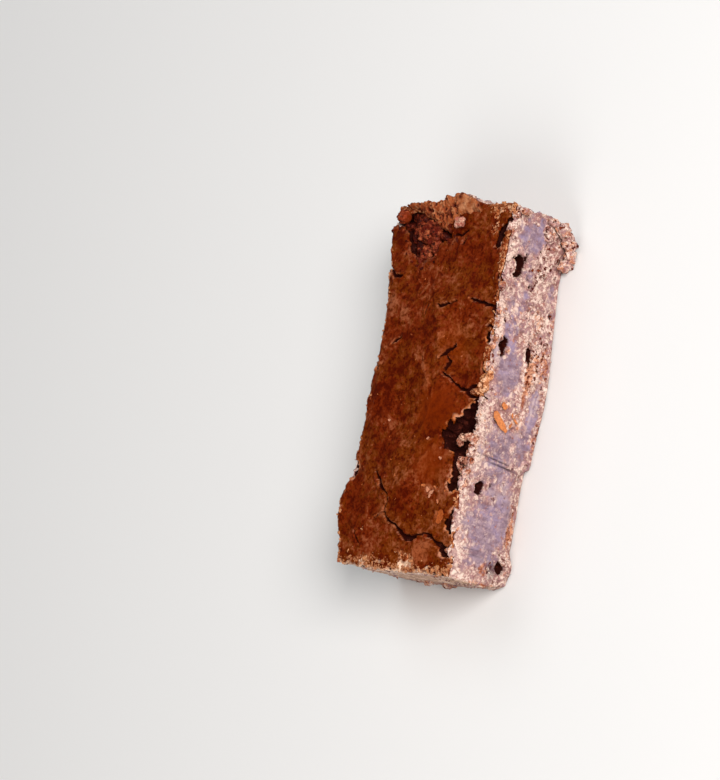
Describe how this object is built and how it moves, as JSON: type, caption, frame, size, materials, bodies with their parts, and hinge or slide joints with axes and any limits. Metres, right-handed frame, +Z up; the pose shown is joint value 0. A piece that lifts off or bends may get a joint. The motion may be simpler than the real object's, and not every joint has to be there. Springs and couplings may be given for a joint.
{
  "type": "chocolate brownie",
  "caption": "One hand-cut bar of chocolate brownie with a thin cracked crust, open moist crumb on its cut side and a torn far end.",
  "frame": {"origin": "bottom centre of the bounding box, on the flat base", "axes": "+Y along the bar from the cleanly cut near end to the torn far end, +X towards the long cut side with the open crumb, +Z up through the crust"},
  "size_m": [0.0548, 0.1066, 0.0256],
  "materials": {
    "crumb": "matte, baked chocolate crumb under a thin satin crust"
  },
  "bodies": {
    "root": {"brownie": "crumb"}
  },
  "joints": []
}
